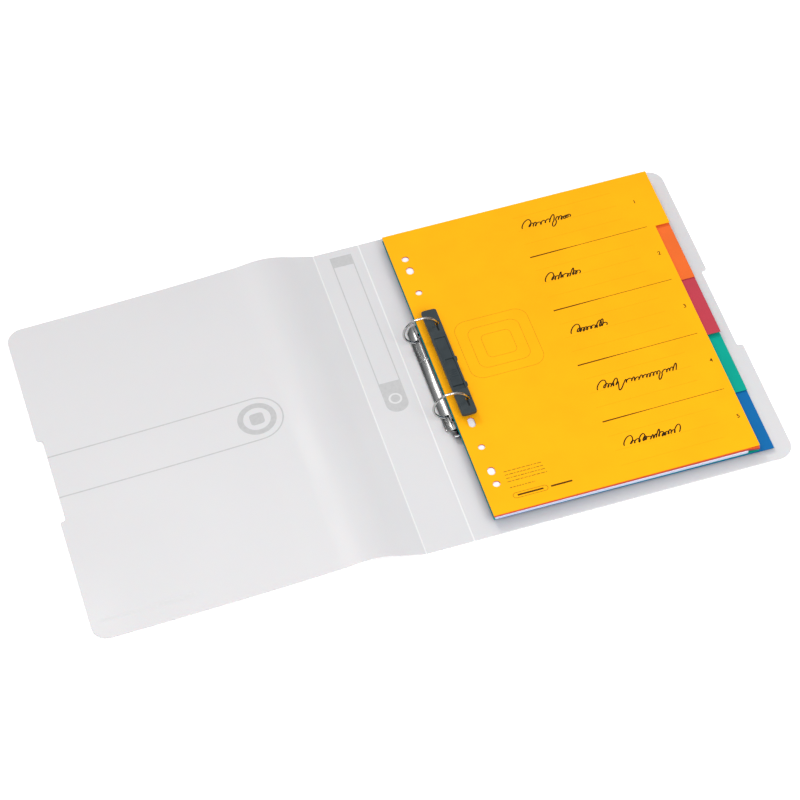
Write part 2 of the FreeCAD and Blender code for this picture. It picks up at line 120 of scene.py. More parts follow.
class Nodes:
    """A material's node tree, with short calls to add and join its nodes."""

    def __init__(self, name: str) -> None:
        """Start an empty material.

        Args:
            name: the material's name.
        """
        self.material = bpy.data.materials.new(name)
        self.material.use_nodes = True
        self.tree = self.material.node_tree
        self.tree.nodes.clear()
        self.output = self.tree.nodes.new("ShaderNodeOutputMaterial")
        self.shader = self.tree.nodes.new("ShaderNodeBsdfPrincipled")
        self.join(self.shader, "BSDF", self.output, "Surface")
        self.place = self.tree.nodes.new("ShaderNodeTexCoord")

    def join(self, source: bpy.types.Node, out: str | int, target: bpy.types.Node, into: str | int) -> None:
        """Link one node's output to another's input."""
        self.tree.links.new(source.outputs[out], target.inputs[into])

    def set(self, **sockets: float | Colour) -> None:
        """Set the shader's own sockets, named with underscores for spaces."""
        for name, value in sockets.items():
            socket = self.shader.inputs[name.replace("_", " ")]
            if isinstance(value, tuple):
                value = (*value, 1.0) if len(value) == 3 else value
            socket.default_value = value

    def noise(self, scale: float, detail: float = 2.0, stretch: Vector | None = None) -> bpy.types.Node:
        """Add a noise texture on object coordinates.

        Args:
            scale: features per metre.
            detail: octaves of finer noise.
            stretch: scale factors along X, Y and Z.

        Returns:
            The noise node.
        """
        mapping = self.tree.nodes.new("ShaderNodeMapping")
        mapping.inputs["Scale"].default_value = stretch or Vector((1, 1, 1))
        self.join(self.place, "Object", mapping, "Vector")
        noise = self.tree.nodes.new("ShaderNodeTexNoise")
        noise.inputs["Scale"].default_value = scale
        noise.inputs["Detail"].default_value = detail
        self.join(mapping, "Vector", noise, "Vector")
        return noise

    def ramp(self, texture: bpy.types.Node, low: float, high: float) -> bpy.types.Node:
        """Map a texture's middle range to a range of values.

        Args:
            texture: the texture node.
            low: the value at the texture's dark end.
            high: the value at its light end.

        Returns:
            The node that holds the mapped value in its Result output.
        """
        ranged = self.tree.nodes.new("ShaderNodeMapRange")
        for socket, value in (("From Min", 0.3), ("From Max", 0.7), ("To Min", low), ("To Max", high)):
            ranged.inputs[socket].default_value = value
        self.join(texture, "Fac", ranged, "Value")
        return ranged

    def rough(self, texture: bpy.types.Node, span: Point) -> None:
        """Let a texture vary the shader's roughness over a span."""
        self.join(self.ramp(texture, *span), "Result", self.shader, "Roughness")

    def colour(self, texture: bpy.types.Node, dark: Colour, light: Colour) -> None:
        """Let a texture mix the shader's colour.

        Args:
            texture: the texture node.
            dark: the colour at its dark end.
            light: the colour at its light end.
        """
        mix = self.tree.nodes.new("ShaderNodeMix")
        mix.data_type = "RGBA"
        mix.inputs[6].default_value = (*dark, 1.0)
        mix.inputs[7].default_value = (*light, 1.0)
        self.join(self.ramp(texture, 0.0, 1.0), "Result", mix, 0)
        self.join(mix, 2, self.shader, "Base Color")

    def relief(self, layers: list[tuple[bpy.types.Node, float]]) -> None:
        """Chain bump nodes, one for each texture.

        Args:
            layers: texture nodes with their height in metres.
        """
        last = None
        for texture, height in layers:
            bump = self.tree.nodes.new("ShaderNodeBump")
            bump.inputs["Strength"].default_value = 1.0
            bump.inputs["Distance"].default_value = height
            self.join(texture, "Fac", bump, "Height")
            if last is not None:
                self.join(last, "Normal", bump, "Normal")
            last = bump
        self.join(last, "Normal", self.shader, "Normal")


@dataclass(frozen=True)
class FrostedSheet:
    """Matt translucent polypropylene sheet with a fine sand grain and slow ripples."""

    name: str
    light: Colour
    dark: Colour
    roughness: Point = (0.34, 0.46)

    def make(self) -> bpy.types.Material:
        """Return the finished material."""
        nodes = Nodes(self.name)
        cloud = nodes.noise(9.0, 3.0)
        nodes.colour(cloud, self.dark, self.light)
        nodes.rough(cloud, self.roughness)
        nodes.set(IOR=1.49, Subsurface_Weight=0.1, Subsurface_Scale=0.002, Specular_IOR_Level=0.5)
        nodes.relief([(nodes.noise(7.0, 1.0), 0.9 * MM), (nodes.noise(2600.0, 2.0), 0.012 * MM)])
        return nodes.material


@dataclass(frozen=True)
class ColouredSheet:
    """Through-coloured divider sheet with a faint cloud and a fine matt grain."""

    name: str
    colour: Colour
    roughness: Point = (0.42, 0.56)

    def make(self) -> bpy.types.Material:
        """Return the finished material."""
        nodes = Nodes(self.name)
        cloud = nodes.noise(34.0, 5.0)
        deep = tuple(0.93 * channel for channel in self.colour)
        nodes.colour(cloud, deep, self.colour)
        nodes.rough(cloud, self.roughness)
        nodes.set(IOR=1.48, Specular_IOR_Level=0.07)
        nodes.relief([(nodes.noise(11.0, 1.0), 0.35 * MM), (nodes.noise(2100.0, 3.0), 0.01 * MM)])
        return nodes.material


@dataclass(frozen=True)
class PlatedSteel:
    """Bright nickel plate with fine draw lines and a few dull patches."""

    name: str
    colour: Colour
    roughness: Point
    draw: Vector = field(default_factory=lambda: Vector((1.0, 0.05, 1.0)))

    def make(self) -> bpy.types.Material:
        """Return the finished material."""
        nodes = Nodes(self.name)
        lines = nodes.noise(900.0, 4.0, self.draw)
        cloud = nodes.noise(60.0, 3.0)
        dull = tuple(0.86 * channel for channel in self.colour)
        nodes.colour(cloud, dull, self.colour)
        nodes.rough(lines, self.roughness)
        nodes.set(Metallic=1.0)
        nodes.relief([(lines, 0.0003 * MM), (nodes.noise(60.0, 1.0), 0.012 * MM)])
        return nodes.material


@dataclass(frozen=True)
class MouldedPlastic:
    """Dark moulded plastic with a spark-eroded grain and polished patches."""

    name: str
    colour: Colour
    roughness: Point = (0.3, 0.48)

    def make(self) -> bpy.types.Material:
        """Return the finished material."""
        nodes = Nodes(self.name)
        cloud = nodes.noise(120.0, 4.0)
        deep = tuple(0.8 * channel for channel in self.colour)
        nodes.colour(cloud, deep, self.colour)
        nodes.rough(cloud, self.roughness)
        nodes.set(IOR=1.5, Specular_IOR_Level=0.32)
        nodes.relief([(nodes.noise(1500.0, 3.0), 0.02 * MM)])
        return nodes.material


@dataclass(frozen=True)
class OfficePaper:
    """Uncoated paper with a fibrous tooth."""

    name: str
    colour: Colour

    def make(self) -> bpy.types.Material:
        """Return the finished material."""
        nodes = Nodes(self.name)
        fibres = nodes.noise(1300.0, 6.0, Vector((1.0, 0.4, 1.0)))
        deep = tuple(0.94 * channel for channel in self.colour)
        nodes.colour(fibres, deep, self.colour)
        nodes.set(Roughness=0.85, Specular_IOR_Level=0.2)
        nodes.relief([(fibres, 0.008 * MM)])
        return nodes.material


@dataclass(frozen=True)
class Ink:
    """Printed or written ink with slight unevenness."""

    name: str
    colour: Colour
    thin: Colour

    def make(self) -> bpy.types.Material:
        """Return the finished material."""
        nodes = Nodes(self.name)
        blot = nodes.noise(420.0, 4.0)
        nodes.colour(blot, self.thin, self.colour)
        nodes.set(Roughness=0.6, Specular_IOR_Level=0.06)
        nodes.relief([(blot, 0.004 * MM)])
        return nodes.material


class Finishes:
    """Every finish of the binder, made once."""

    def __init__(self) -> None:
        """Make all the materials."""
        self.cover = FrostedSheet("frosted_cover", (0.62, 0.625, 0.637), (0.60, 0.607, 0.621)).make()
        self.crease = FrostedSheet("whitened_crease", (0.76, 0.76, 0.76), (0.72, 0.72, 0.72)).make()
        self.plated = PlatedSteel("nickel_plate", (0.36, 0.37, 0.37), (0.2, 0.3)).make()
        self.lever = PlatedSteel("nickel_lever", (0.22, 0.225, 0.23), (0.12, 0.22)).make()
        self.wire = PlatedSteel("nickel_wire", (0.60, 0.60, 0.59), (0.05, 0.12), Vector((1, 1, 1))).make()
        self.steel = PlatedSteel("zinc_steel", (0.5, 0.5, 0.5), (0.3, 0.45)).make()
        self.slate = MouldedPlastic("slate_plastic", (0.030, 0.042, 0.047)).make()
        self.slider = MouldedPlastic("slate_slider", (0.024, 0.036, 0.042)).make()
        # The near-black film in the retainer's grooves is painted shade, not a dark plastic part.
        self.shade = MouldedPlastic("groove_painted_shade", (0.006, 0.008, 0.009), (0.6, 0.75)).make()
        self.yellow = ColouredSheet("yellow_sheet", (1.0, 0.445, 0.005)).make()
        self.orange = ColouredSheet("orange_sheet", (0.80, 0.15, 0.028)).make()
        self.red = ColouredSheet("red_sheet", (0.485, 0.052, 0.078)).make()
        self.green = ColouredSheet("green_sheet", (0.003, 0.35, 0.265)).make()
        self.blue = ColouredSheet("blue_sheet", (0.007, 0.135, 0.38)).make()
        self.paper = OfficePaper("white_paper", (0.86, 0.87, 0.9)).make()
        # The bluish grey of the lower sheets is painted shade along the stack's lower edge.
        self.shadowed_paper = OfficePaper("bluish_paper_painted_shade", (0.62, 0.67, 0.84)).make()
        self.pen = Ink("pen_ink", (0.010, 0.006, 0.004), (0.05, 0.026, 0.006)).make()
        self.rule = Ink("rule_ink", (0.075, 0.032, 0.002), (0.12, 0.05, 0.003)).make()
        self.device = Ink("device_ink", (0.40, 0.19, 0.005), (0.50, 0.235, 0.005)).make()
        self.small = Ink("small_ink", (0.24, 0.12, 0.006), (0.50, 0.25, 0.008)).make()
        self.faint = Ink("faint_ink", (0.80, 0.34, 0.004), (0.88, 0.375, 0.004)).make()
        self.grey = Ink("grey_print", (0.47, 0.475, 0.48), (0.51, 0.515, 0.52)).make()
        self.pale = Ink("pale_print", (0.63, 0.635, 0.64), (0.66, 0.665, 0.67)).make()


# --------------------------------------------------------------------------- mesh work


def extrude_up(bm: bmesh.types.BMesh, faces: list[bmesh.types.BMFace], height: float) -> None:
    """Extrude faces straight up by a height."""
    raised = bmesh.ops.extrude_face_region(bm, geom=faces)["geom"]
    moved = [item for item in raised if isinstance(item, bmesh.types.BMVert)]
    bmesh.ops.translate(bm, verts=moved, vec=(0, 0, height))


def close_ends(bm: bmesh.types.BMesh) -> list[bmesh.types.BMFace]:
    """Fill a mesh's open ends and return the new faces."""
    return bmesh.ops.holes_fill(bm, edges=[edge for edge in bm.edges if edge.is_boundary])["faces"]


def soften(bm: bmesh.types.BMesh, edges: list[bmesh.types.BMEdge], width: float) -> None:
    """Soften some edges with a narrow bevel."""
    bmesh.ops.bevel(bm, geom=edges, offset=width, segments=2, profile=0.5, affect="EDGES", material=-1)


def plate(corners: list[Point], low: float, high: float) -> bmesh.types.BMesh:
    """Make an upright plate from the corners of its outline.

    Args:
        corners: the outline's corners in turn, in metres.
        low: the height of its underside.
        high: the height of its top.

    Returns:
        The closed plate.
    """
    bm = bmesh.new()
    base = bm.faces.new([bm.verts.new((x, y, low)) for x, y in corners])
    extrude_up(bm, [base], high - low)
    if base.is_valid and bm.faces[:].count(base):
        base.normal_flip()
    bmesh.ops.recalc_face_normals(bm, faces=bm.faces[:])
    return bm


def rectangle(left: float, low: float, right: float, high: float) -> list[Point]:
    """Return a rectangle's four corners in turn."""
    return [(left, low), (right, low), (right, high), (left, high)]


def ease(share: float) -> float:
    """Turn a share of the way into a smooth step from 0 to 1."""
    share = min(max(share, 0.0), 1.0)
    return share * share * (3 - 2 * share)


def round_corners(bm: bmesh.types.BMesh, spots: list[Point], radius: float, segments: int = 8) -> None:
    """Round the upright edges that stand at given places.

    Args:
        bm: the plate.
        spots: where the edges stand.
        radius: the rounding's radius.
        segments: the steps of each rounding.
    """
    near = 0.05 * MM
    picked = []
    for edge in bm.edges:
        one, other = (vert.co for vert in edge.verts)
        upright = (one.xy - other.xy).length < near and abs(one.z - other.z) > near
        if upright and any((one.xy - Vector(spot)).length < near for spot in spots):
            picked.append(edge)
    bmesh.ops.bevel(bm, geom=picked, offset=radius, offset_type="OFFSET", segments=segments, profile=0.5,
                    affect="EDGES", clamp_overlap=True, material=-1)


def slice_across(bm: bmesh.types.BMesh, axis: Vector, start: float, stop: float, step: float) -> None:
    """Cut a mesh into strips, so that it can bend.

    Args:
        bm: the mesh.
        axis: the direction the cuts follow one another.
        start: the first cut's distance along it.
        stop: the last cut's distance.
        step: the distance between cuts.
    """
    count = max(1, round((stop - start) / step))
    for index in range(count + 1):
        at = start + (stop - start) * index / count
        geometry = bm.verts[:] + bm.edges[:] + bm.faces[:]
        bmesh.ops.bisect_plane(bm, geom=geometry, dist=1e-7, plane_co=axis * at, plane_no=axis)


def merged(pieces: list[bmesh.types.BMesh]) -> bmesh.types.BMesh:
    """Gather several meshes into the first one."""
    first = pieces[0]
    for other in pieces[1:]:
        scratch = bpy.data.meshes.new("scratch")
        other.to_mesh(scratch)
        other.free()
        first.from_mesh(scratch)
        bpy.data.meshes.remove(scratch)
    return first


def arc_band(
    centre: Vector, radius: float, half: float, start: float, stop: float, through: float, level: float = 0.0,
) -> bmesh.types.BMesh:
    """Make a flat curved band by spinning its end section.

    Args:
        centre: the arc's centre.
        radius: its middle radius.
        half: half the band's width.
        start: where it starts, in degrees from +X.
        stop: where it ends.
        through: half its height.
        level: the height of its middle.

    Returns:
        The closed band.
    """
    bm = bmesh.new()
    turn = Matrix.Rotation(math.radians(start), 4, "Z")
    place = Matrix.Translation((centre.x, centre.y, 0)) @ turn
    corners = rectangle(radius - half, -through, radius + half, through)
    verts = [bm.verts.new(place @ Vector((x, 0, z))) for x, z in corners]
    edges = [bm.edges.new((verts[index], verts[index - 1])) for index in range(4)]
    full = abs(stop - start) > 359.9
    steps = max(8, round(abs(stop - start) / 6))
    bmesh.ops.spin(bm, geom=verts + edges, cent=(centre.x, centre.y, 0), axis=(0, 0, 1),
                   angle=math.radians(stop - start), steps=steps, use_merge=full)
    if not full:
        close_ends(bm)
    bmesh.ops.translate(bm, verts=bm.verts[:], vec=(0, 0, level))
    return bm


def from_curve(curve: bpy.types.Curve) -> bmesh.types.BMesh:
    """Turn a curve or a text into a mesh."""
    scratch = bpy.data.objects.new("scratch", curve)
    bpy.context.scene.collection.objects.link(scratch)
    bpy.context.view_layer.update()
    mesh = bpy.data.meshes.new_from_object(scratch)
    bpy.data.objects.remove(scratch)
    bm = bmesh.new()
    bm.from_mesh(mesh)
    return bm


def finish_piece(
    name: str,
    bm: bmesh.types.BMesh,
    material: bpy.types.Material,
    body: Body | None,
    sharp: float = 32.0,
) -> bpy.types.Object:
    """Turn a mesh into a shaded piece of the binder.

    Args:
        name: the piece's name.
        bm: its mesh, which is used up.
        material: its finish.
        body: the body it rides on, or None to leave it on no body.
        sharp: the angle in degrees from which an edge stays sharp.

    Returns:
        The new object.
    """
    bmesh.ops.recalc_face_normals(bm, faces=bm.faces[:])
    limit = math.radians(sharp)
    for face in bm.faces:
        face.smooth = True
    for edge in bm.edges:
        edge.smooth = len(edge.link_faces) == 2 and edge.calc_face_angle(0.0) < limit
    mesh = bpy.data.meshes.new(name)
    bm.to_mesh(mesh)
    bm.free()
    mesh.materials.append(material)
    piece = bpy.data.objects.new(name, mesh)
    bpy.context.scene.collection.objects.link(piece)
    if body is not None:
        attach(piece, body.value)
    LOG.info("%s: %d faces", name, len(mesh.polygons))
    return piece


def dress(node: str, material: bpy.types.Material, edge: float = 0.0, angle: float = 40.0) -> None:
    """Give a frame node its finish, and soften its edges.

    Args:
        node: the node's name.
        material: its finish.
        edge: how wide its edges are softened, in metres.
        angle: the angle in degrees from which an edge is softened.
    """
    obj = frame["nodes"][node]
    obj.data.materials.clear()
    obj.data.materials.append(material)
    if edge > 0.0:
        weld = obj.modifiers.new("weld", "WELD")
        weld.merge_threshold = 1e-6
        bevel = obj.modifiers.new("soft_edges", "BEVEL")
        bevel.width = edge
        bevel.segments = 3
        bevel.limit_method = "ANGLE"
        bevel.angle_limit = math.radians(angle)
        bevel.harden_normals = False
    LOG.info("%s: dressed", node)


# --------------------------------------------------------------------------- covers


@dataclass
class FrontCover:
    """The front cover: one springy sheet that rises from its crease and comes down to the table."""

    finishes: Finishes
    width: float = 258.0 * MM
    wall: float = 0.8 * MM
    crease_gap: float = 1.2 * MM
    corner: float = 13.0 * MM
    notch_length: float = 82.0 * MM
    notch_depth: float = 4.5 * MM
    notch_round: float = 2.2 * MM
    bend_before: float = 23.0 * MM
    bend_after: float = 31.0 * MM
    sag: float = 1.2 * MM
    badge_centre: Point = (-90.0 * MM, 2.5 * MM)
    capsule_radius: float = 20.5 * MM
    capsule_line: float = 0.55 * MM
    badge_line: float = 2.3 * MM
    bars_y: float = -140.5 * MM
    bars: tuple[tuple[float, float, float], ...] = (
        (-249.0 * MM, -237.0 * MM, 1.0 * MM),
        (-234.5 * MM, -219.0 * MM, 1.0 * MM),
        (-211.0 * MM, -176.0 * MM, 1.9 * MM),
    )

    def __post_init__(self) -> None:
        """Read the creases and slopes from the frame."""
        self.crease = joint_place("cover_fold")
        self.flex = joint_place("cover_flex")
        rise = self.flex - self.crease
        self.slope = math.atan2(rise.z, -rise.x)
        self.strip = Vector((rise.x, rise.z)).length
        self.turn = joint_span("cover_flex")
        self.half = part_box("front_cover_panel")[1].y
        self.start = self.flex + Vector((self.bend_before, 0, 0))
        self.stop = self.flex - Vector((self.bend_after, 0, 0))

    def rest(self, flat: Vector) -> Vector:
        """Carry a point of the flat sheet to where it rests.

        Args:
            flat: the point, with the crease at the origin and the sheet along -X.

        Returns:
            Its place in the frame.
        """
        straight = self.crease + Matrix.Rotation(self.slope, 3, "Y") @ flat
        place = straight
        span = self.start.x - self.stop.x
        for _ in range(5):
            weight = ease((self.start.x - place.x) / span)
            place = self.flex + Matrix.Rotation(-weight * self.turn, 3, "Y") @ (straight - self.flex)
        past = (-flat.x - self.strip) / (self.width - self.strip)
        if past > 0:
            place.z -= self.sag * math.sin(math.pi * past) * min(1.0, 4 * past)
        return place

    def bend(self, bm: bmesh.types.BMesh) -> bmesh.types.BMesh:
        """Slice a flat mesh where the sheet curves, and carry it to its rest."""
        across = Vector((1, 0, 0))
        settled = -self.strip - 3.0 * self.bend_after
        slice_across(bm, across, settled, -self.strip + 1.2 * self.bend_before, 2.5 * MM)
        slice_across(bm, across, -self.width, settled, 10 * MM)
        for vert in bm.verts:
            vert.co = self.rest(vert.co)
        return bm

    def sheet(self) -> bpy.types.Object:
        """Make the sheet itself, with its round corners and finger notch."""
        far, near, notch = -self.width, -self.crease_gap / 2, self.notch_length / 2
        inner = far + self.notch_depth
        outline = [(near, -self.half), (near, self.half), (far, self.half), (far, notch), (inner, notch),
                   (inner, -notch), (far, -notch), (far, -self.half)]
        bm = plate(outline, -self.wall / 2, self.wall / 2)
        round_corners(bm, [(far, self.half), (far, -self.half)], self.corner, 10)
        round_corners(bm, [(far, notch), (far, -notch), (inner, notch), (inner, -notch)], self.notch_round, 5)
        self.bend(bm)
        piece = finish_piece("front_cover_sheet", bm, self.finishes.cover, None, 25.0)
        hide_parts("front_cover_strip", "front_cover_panel")
        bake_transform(piece)
        return piece

    def capsule(self) -> None:
        """Print the long capsule outline that runs in from the notch, a plain badge and plain bars."""
        through = self.wall / 2 + 0.02 * MM
        centre, radius, line = Vector(self.badge_centre), self.capsule_radius, self.capsule_line
        edge = -self.width + self.notch_depth + 0.3 * MM
        bands = []
        for side in (-1, 1):
            y = centre.y + side * radius
            bands.append(plate(rectangle(edge, y - line, centre.x, y + line), -through, through))
        bands.append(arc_band(centre, radius, line, -90, 90, through))
        self.printed("front_cover_print", merged(bands), self.finishes.grey)
        bars = []
        for left, right, half in self.bars:
            corners = rectangle(left, self.bars_y - half, right, self.bars_y + half)
            bars.append(plate(corners, -through, through))
        self.printed("front_plain_bars", merged(bars), self.finishes.pale)
        ring = arc_band(centre, 0.64 * radius, self.badge_line, 0, 360, through)
        self.printed("front_badge_ring", ring, self.finishes.grey)
        badge = 0.27 * radius
        corners = rectangle(centre.x - badge, centre.y - badge, centre.x + badge, centre.y + badge)
        square = plate(corners, -through, through)
        round_corners(square, corners, 0.5 * badge, 6)
        self.printed("front_badge_square", square, self.finishes.grey)

    def printed(self, name: str, bm: bmesh.types.BMesh, ink: bpy.types.Material) -> None:
        """Lay a flat print on the sheet, so that it bends with it.

        Args:
            name: the piece's name.
            bm: the print, lying flat.
            ink: its finish.
        """
        piece = finish_piece(name, self.bend(bm), ink, None)
        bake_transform(piece)

    def build(self) -> None:
        """Make the whole front cover."""
        self.sheet()
        self.capsule()


@dataclass
class Spine:
    """The spine's two crease webs and its printed label frame."""

    finishes: Finishes
    web_wall: float = 0.5 * MM
    gap: float = 1.2 * MM
    frame_left: float = -7.0 * MM
    frame_right: float = 11.0 * MM
    frame_top: float = 150.4 * MM
    bar_low: float = 139.5 * MM
    foot_top: float = 11.5 * MM
    foot_low: float = -19.5 * MM
    line: float = 0.9 * MM
    ring_radius: float = 4.6 * MM
    ring_line: float = 0.8 * MM
    ring_drop: float = 2.0 * MM

    def web(self, joint: str, side: int, lean: float) -> None:
        """Make the thin living hinge of one crease.

        Args:
            joint: the crease's joint.
            side: 1 for the right crease, -1 for the left.
            lean: how far the sheet beyond the crease is turned at rest, in radians.
        """
        axis = joint_place(joint)
        half_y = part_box("spine_panel")[1].y
        half = self.gap / 2
        bm = plate(rectangle(-half, -half_y, half, half_y), -self.web_wall / 2, self.web_wall / 2)
        slice_across(bm, Vector((1, 0, 0)), -half * 0.8, half * 0.8, half / 4)
        for vert in bm.verts:
            weight = ease((side * vert.co.x / half + 1) / 2)
            vert.co = axis + Matrix.Rotation(weight * lean, 3, "Y") @ vert.co
        piece = finish_piece(f"{joint}_web", bm, self.finishes.crease, None)
        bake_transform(piece)

    def label(self) -> None:
        """Print the label frame: a bar at the top, two thin sides and a round foot."""
        low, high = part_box("spine_panel")
        bottom, top = low.z - 0.01 * MM, high.z + 0.02 * MM
        left, right, line = self.frame_left, self.frame_right, self.line
        parts = [plate(rectangle(left, self.bar_low, right, self.frame_top), bottom, top)]
        for x in (left, right - line):
            parts.append(plate(rectangle(x, self.foot_top, x + line, self.bar_low), bottom, top))
        foot = plate(rectangle(left, self.foot_low, right, self.foot_top), bottom, top)
        round_corners(foot, [(left, self.foot_low), (right, self.foot_low)], 0.49 * (right - left), 12)
        parts.append(foot)
        finish_piece("spine_label_print", merged(parts), self.finishes.grey, Body.SPINE)
        middle = Vector(((left + right) / 2, (self.foot_top + self.foot_low) / 2 - self.ring_drop))
        ring = arc_band(middle, self.ring_radius, self.ring_line, 0, 360,
                        0.5 * (top - bottom) + 0.01 * MM, (top + bottom) / 2)
        finish_piece("spine_label_ring", ring, self.finishes.pale, Body.SPINE)

    def build(self) -> None:
        """Make the webs and the label, and dress the flat panels."""
        dress("spine_panel", self.finishes.cover)
        dress("back_cover", self.finishes.cover)
        cover = FrontCover(self.finishes)
        self.web("spine_fold", 1, 0.0)
        self.web("cover_fold", -1, cover.slope)
        self.label()
        cover.build()


# --------------------------------------------------------------------------- mechanism


@dataclass
class RingMechanism:
    """The plated housing, its four half rings and its lever."""

    finishes: Finishes
    wire: float = 1.05 * MM
    radius: float = 14.0 * MM
    foot: float = 3.4 * MM
    stub: float = 0.9 * MM
    stub_length: float = 2.4 * MM
    tip_gap: float = 0.16 * MM
    arch_radius: float = 12.17 * MM
    rib_y: float = 20.0 * MM
    rib_reach: float = 7.9 * MM
    rib_height: float = 0.5 * MM
    rib_spread: float = 1.6

    def __post_init__(self) -> None:
        """Read the rings' centre line from the frame."""
        self.centre = joint_place("page_turn")

    def half_ring(self, name: str, y: float, hand: int) -> None:
        """Spin one half ring from its tip to its foot.

        Args:
            name: the frame node it stands for.
            y: where its plane is.
            hand: 1 for a right half, -1 for a left one.
        """
        centre = Vector((self.centre.x, y, self.centre.z))
        bm = bmesh.new()
        top = centre + Vector((hand * self.tip_gap / 2, 0, self.radius))
        section = Matrix.Translation(top) @ Matrix.Rotation(math.radians(90), 4, "Y")
        bmesh.ops.create_circle(bm, cap_ends=False, segments=28, radius=self.wire, matrix=section)
        sweep = math.radians(90) + math.acos(self.foot / self.radius)
        bmesh.ops.spin(bm, geom=bm.verts[:] + bm.edges[:], cent=centre, axis=(0, 1, 0),
                       angle=hand * sweep, steps=72, use_merge=False)
        caps = sorted(close_ends(bm), key=lambda face: face.calc_center_median().z)
        foot_cap, tip_cap = caps[0], caps[-1]
        soften(bm, list(tip_cap.edges), 0.12 * MM)
        down = bmesh.ops.extrude_discrete_faces(bm, faces=[foot_cap])["faces"][0]
        middle = down.calc_center_median()
        target = Vector((centre.x + hand * self.foot, y, middle.z - self.stub_length))
        for vert in down.verts:
            offset = vert.co - middle
            flat = Vector((offset.x, offset.y, 0)).normalized() * self.stub
            vert.co = target + flat
        side = Body.RIGHT_RINGS if hand > 0 else Body.LEFT_RINGS
        piece = finish_piece(f"{name}_wire", bm, self.finishes.wire, side, 50.0)
        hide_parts(name)

    def rib(self) -> None:
        """Press the low rib that crosses the housing."""
        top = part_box("mechanism_housing")[1].z
        axis = Vector((self.centre.x, self.rib_y, top - self.arch_radius))
        bm = bmesh.new()
        reach = math.asin(self.rib_reach / self.arch_radius)
        lean = Matrix.Translation(axis) @ Matrix.Rotation(-reach, 4, "Y")
        place = lean @ Matrix.Translation((0, 0, self.arch_radius))
        bmesh.ops.create_circle(bm, cap_ends=False, segments=16, radius=self.rib_height,
                                matrix=place @ Matrix.Rotation(math.radians(90), 4, "Y"))
        for vert in bm.verts:
            vert.co.y = axis.y + self.rib_spread * (vert.co.y - axis.y)
        bmesh.ops.spin(bm, geom=bm.verts[:] + bm.edges[:], cent=axis, axis=(0, 1, 0),
                       angle=2 * reach, steps=24)
        close_ends(bm)
        finish_piece("housing_rib", bm, self.finishes.plated, Body.BACK, 60.0)

    def build(self) -> None:
        """Make the rings and dress the rest."""
        dress("mechanism_housing", self.finishes.plated, 0.12 * MM)
        dress("end_lever", self.finishes.lever, 0.12 * MM)
        for name in ("rivet_lower", "rivet_upper"):
            dress(name, self.finishes.plated)
        for name in ("blade_left", "blade_right", "lever_pin"):
            dress(name, self.finishes.steel)
        for level in ("lower", "upper"):
            for hand, side in ((-1, "left"), (1, "right")):
                name = f"ring_{level}_{side}"
                low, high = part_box(name)
                self.half_ring(name, (low.y + high.y) / 2, hand)
        self.rib()


@dataclass
class PageRetainer:
    """The dark bar that holds the pages down, and its lock slider."""

    finishes: Finishes
    tab_y: tuple[float, ...] = (1.6 * MM, -25.4 * MM)
    tab_length: float = 4.0 * MM
    tab_depth: float = 1.2 * MM
    groove_inset: float = 1.7 * MM
    groove_width: float = 1.5 * MM
    groove_length: float = 6.5 * MM
    groove_depth: float = 0.9 * MM
    groove_start: float = 1.5 * MM
    rib_y: float = -9.0 * MM
    rib_pitch: float = 2.2 * MM
    rib_half: float = 3.0 * MM

    def side_tabs(self) -> None:
        """Add the small grip tabs on the bar's outer edge."""
        low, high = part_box("retainer_bar")
        parts = []
        for y in self.tab_y:
            edge, half = high.x - 0.05 * MM, self.tab_length / 2
            tab = plate(rectangle(edge, y - half, edge + self.tab_depth, y + half),
                        low.z + 0.3 * MM, high.z - 0.5 * MM)
            outer = [(edge + self.tab_depth, y - half), (edge + self.tab_depth, y + half)]
            round_corners(tab, outer, 0.8 * MM, 5)
            parts.append(tab)
        finish_piece("retainer_tabs", merged(parts), self.finishes.slate, Body.RETAINER)

    def groove_painted_shade(self) -> None:
        """Lay a near-black film in the blind grooves south of the rings, as painted shade for their dark
        insides.
        """
        centre = joint_place("page_turn")
        low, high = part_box("retainer_bar")
        wire = centre.x + math.sqrt(RingMechanism.radius**2 - ((low.z + high.z) / 2 - centre.z) ** 2)
        left, skin = wire - self.groove_inset, 0.03 * MM
        parts = []
        for name in ("ring_lower_right", "ring_upper_right"):
            ring_low, ring_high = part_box(name)
            top = (ring_low.y + ring_high.y) / 2 - self.groove_start
            # This film is painted shade: it stands for the shadow inside each groove.
            corners = rectangle(left - skin, top - self.groove_length - skin,
                                left + self.groove_width + skin, top)
            floor = high.z - self.groove_depth
            parts.append(plate(corners, floor - skin, floor + 0.25 * MM))
        finish_piece("retainer_groove_painted_shade", merged(parts), self.finishes.shade, Body.RETAINER)

    def grip_ribs(self) -> None:
        """Add the fine thumb ribs on the slider."""
        low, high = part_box("retainer_slider")
        middle = (low.x + high.x) / 2
        parts = []
        for index in range(4):
            y = self.rib_y - index * self.rib_pitch
            corners = rectangle(middle - self.rib_half, y - 0.45 * MM, middle + self.rib_half, y + 0.45 * MM)
            rib = plate(corners, high.z - 0.1 * MM, high.z + 0.25 * MM)
            top = [edge for edge in rib.edges if all(vert.co.z > high.z for vert in edge.verts)]
            soften(rib, top, 0.15 * MM)
            parts.append(rib)
        finish_piece("slider_ribs", merged(parts), self.finishes.slider, Body.SLIDER)

    def build(self) -> None:
        """Dress the bar and slider, and add their small features."""
        dress("retainer_bar", self.finishes.slate, 0.35 * MM, 50.0)
        dress("retainer_slider", self.finishes.slider, 0.25 * MM, 50.0)
        self.side_tabs()
        self.groove_painted_shade()
        self.grip_ribs()


# --------------------------------------------------------------------------- pages


